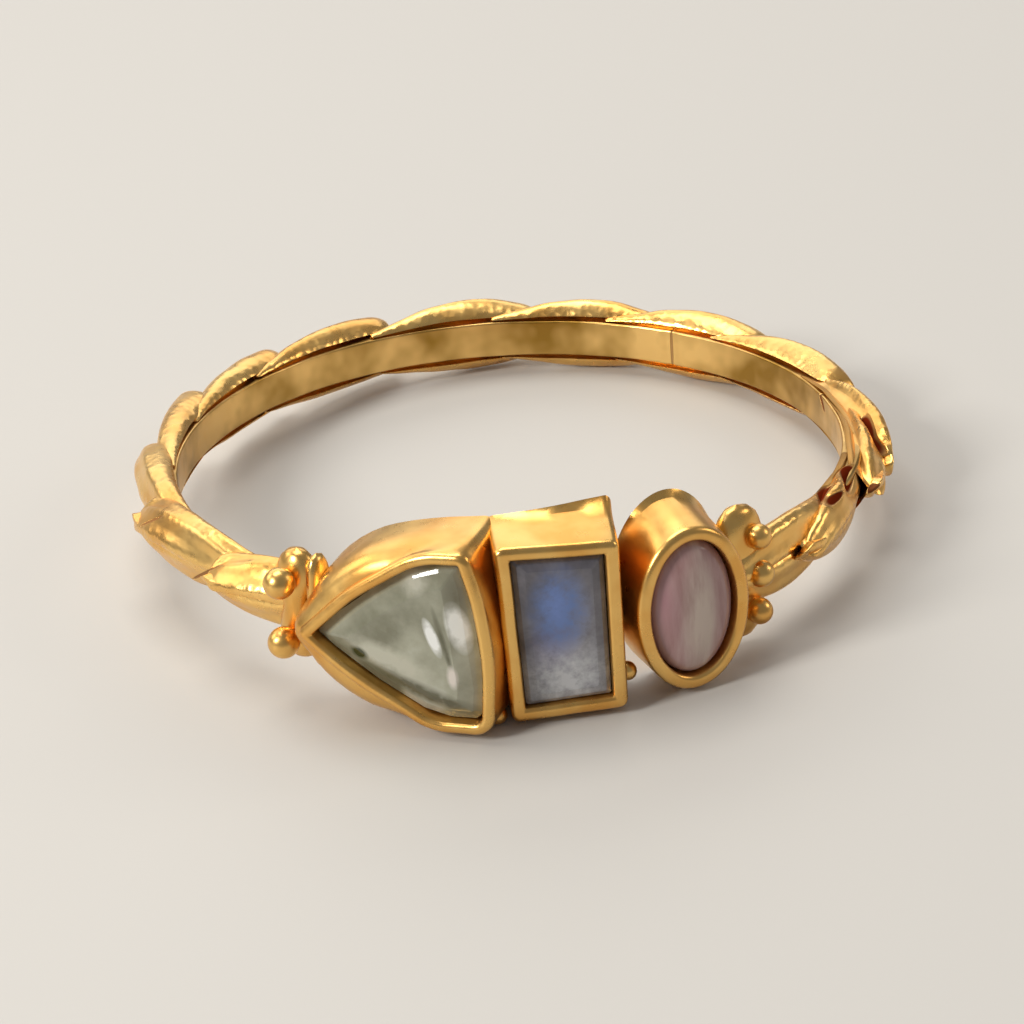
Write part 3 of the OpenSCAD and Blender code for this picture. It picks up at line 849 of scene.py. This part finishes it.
# Stones. Levels are height above the seat and how far in from the girdle, from the back face up.
stoneGap = 0.025           # how far a stone's girdle stays off the wall of its cup
stones = {
    "triangle": {
        "piece": "triangle_gem", "node": "triangle_stone", "slot": "pale_green_stone",
        "levels": [(0.03, 0.75), (0.88, 0.0), (1.0, 0.0), (1.16, 0.24), (1.31, 0.6)],
        "cornerCuts": 1,       # flats that each corner of the girdle is cut in
    },
    "rectangle": {
        "piece": "labradorite_gem", "node": "labradorite_stone", "slot": "labradorite",
        "levels": [(0.03, 0.55), (0.72, 0.0), (0.83, 0.0), (0.93, 0.12), (0.98, 0.30)],
        "cornerCuts": 1,
    },
    "oval": {
        "piece": "oval_cabochon", "node": "oval_stone", "slot": "pink_stone",
        "levels": [(0.03, 0.12), (0.68, 0.0)],
        "height": 1.18, "rings": 14,      # top of the dome, and the rings that it is made in
    },
}


def finishStone(bm, spec, cup, material, sharpDegrees):
    # the stone's own map is its face in millimetres
    layer = bm.loops.layers.uv.new("stone_mm")
    for face in bm.faces:
        for loop in face.loops:
            loop[layer].uv = (loop.vert.co.x, loop.vert.co.y)
    bm.transform(facing(cup["angle"]))
    finishPiece(bm, spec["piece"], material, spec["node"], sharpDegrees)


def buildFacetedStone(spec, cup, material):
    bm = bmesh.new()
    girdle, seat = cup["wall"] + stoneGap, cupShape["seat"]
    stack(bm, [(outlineOf(cup, girdle + inset, segments=spec["cornerCuts"], cuts=0), seat + height)
               for height, inset in spec["levels"]])
    finishStone(bm, spec, cup, material, sharpDegrees=3)


def buildDome(spec, cup, material):
    bm = bmesh.new()
    girdle, seat = cup["wall"] + stoneGap, cupShape["seat"]
    levels = [(outlineOf(cup, girdle + inset), seat + height) for height, inset in spec["levels"]]
    foot = spec["levels"][-1][0]
    narrow = min(cup["half"]) - girdle
    for ring in range(1, spec["rings"]):
        a = math.pi / 2 * ring / spec["rings"]
        height = foot + (spec["height"] - foot) * math.sin(a)
        levels.append((outlineOf(cup, girdle + narrow * (1 - math.cos(a) ** 0.8)), seat + height))
    stack(bm, levels)
    finishStone(bm, spec, cup, material, sharpDegrees=40)


# Floor, light and camera, with lengths in metres
studio = {
    "floorColour": "#C4C1BC",
    "floorRoughness": 0.6,
    "floorSize": 1.2,
    "worldColour": "#C9CBD0",
    "worldStrength": 0.40,
    # name, place, point aimed at, width, height, power, colour
    "lights": [
        ("overhead", (-0.03, 0.05, 0.19), (0, 0, 0), 0.14, 0.10, 0.20, "#FFFAF2"),
        ("back_panel", (-0.05, 0.24, 0.15), (0, 0, 0), 0.34, 0.16, 0.25, "#FFFDF8"),
        ("left_panel", (-0.23, 0.08, 0.15), (0, 0, 0), 0.14, 0.12, 0.14, "#FFF6EA"),
        ("key", (-0.15, -0.10, 0.12), (0, -0.003, 0.002), 0.05, 0.07, 0.32, "#FFFDF8"),
        ("right_fill", (0.20, 0.04, 0.11), (0, 0, 0.002), 0.08, 0.08, 0.07, "#FFF2E0"),
    ],
    "cameraRing": (6.276, -103.785, 46.012),      # the camera's place in the ring's frame, millimetres
    "cameraAim": (-0.000182, 0.001069, 0.0),
    "rollDegrees": 5.35,
    "lens": 153.0,
    "sensor": 36,
    "nearest": 0.005,
}


def buildFloor(spec):
    bm = bmesh.new()
    bmesh.ops.create_grid(bm, x_segments=8, y_segments=8, size=spec["floorSize"] / 2)
    bmesh.ops.translate(bm, vec=(0, 0, -0.01 * mm), verts=bm.verts)      # just clear of the ring
    mesh = bpy.data.meshes.new("floor")
    bm.to_mesh(mesh)
    bm.free()
    floor = bpy.data.objects.new("floor", mesh)
    scene.collection.objects.link(floor)
    material, tree, shader = newMaterial("matt_pale_floor")
    shader.inputs["Base Color"].default_value = toLinear(spec["floorColour"])
    shader.inputs["Roughness"].default_value = spec["floorRoughness"]
    mesh.materials.append(material)


def addLight(name, place, aim, width, height, power, colour):
    data = bpy.data.lights.new(name, "AREA")
    data.shape = "RECTANGLE"
    data.size, data.size_y = width, height
    data.energy = power
    data.color = toLinear(colour)[:3]
    light = bpy.data.objects.new(name, data)
    light.location = place
    light.rotation_euler = (Vector(aim) - Vector(place)).to_track_quat("-Z", "Y").to_euler()
    scene.collection.objects.link(light)


def lightScene(spec):
    for row in spec["lights"]:
        addLight(*row)
    world = bpy.data.worlds.new("studio_air")
    world.use_nodes = True
    background = world.node_tree.nodes["Background"]
    background.inputs["Color"].default_value = toLinear(spec["worldColour"])
    background.inputs["Strength"].default_value = spec["worldStrength"]
    scene.world = world
    scene.view_settings.view_transform = "Standard"


def placeCamera(spec):
    data = bpy.data.cameras.new("camera")
    data.lens = spec["lens"]
    data.sensor_width = spec["sensor"]
    data.clip_start = spec["nearest"]
    camera = bpy.data.objects.new("camera", data)
    place = ringPlace @ Vector(spec["cameraRing"])
    sight = (Vector(spec["cameraAim"]) - place).normalized()
    levelRight = sight.cross(Vector((0, 0, 1))).normalized()
    levelUp = levelRight.cross(sight)
    turned = math.radians(spec["rollDegrees"])
    right = levelRight * math.cos(turned) - levelUp * math.sin(turned)
    up = right.cross(sight)
    camera.matrix_world = Matrix.Translation(place) @ Matrix((right, up, -sight)).transposed().to_4x4()
    scene.collection.objects.link(camera)
    scene.camera = camera


print("stage: gold")
buildHoop(hoop)
buildLeaves(leafBand)
buildCollars(collars)
buildGranules(granulation)
for cupName, cup in cups.items():
    buildCup(cupName, cup, cupShape)

print("stage: stones")
buildFacetedStone(stones["triangle"], cups["triangle"], paleGreenQuartz(quartzLook))
buildFacetedStone(stones["rectangle"], cups["rectangle"], labradorite(labradoriteLook))
buildDome(stones["oval"], cups["oval"], pinkStone(pinkLook))

print("stage: floor, light and camera")
buildFloor(studio)
lightScene(studio)
placeCamera(studio)
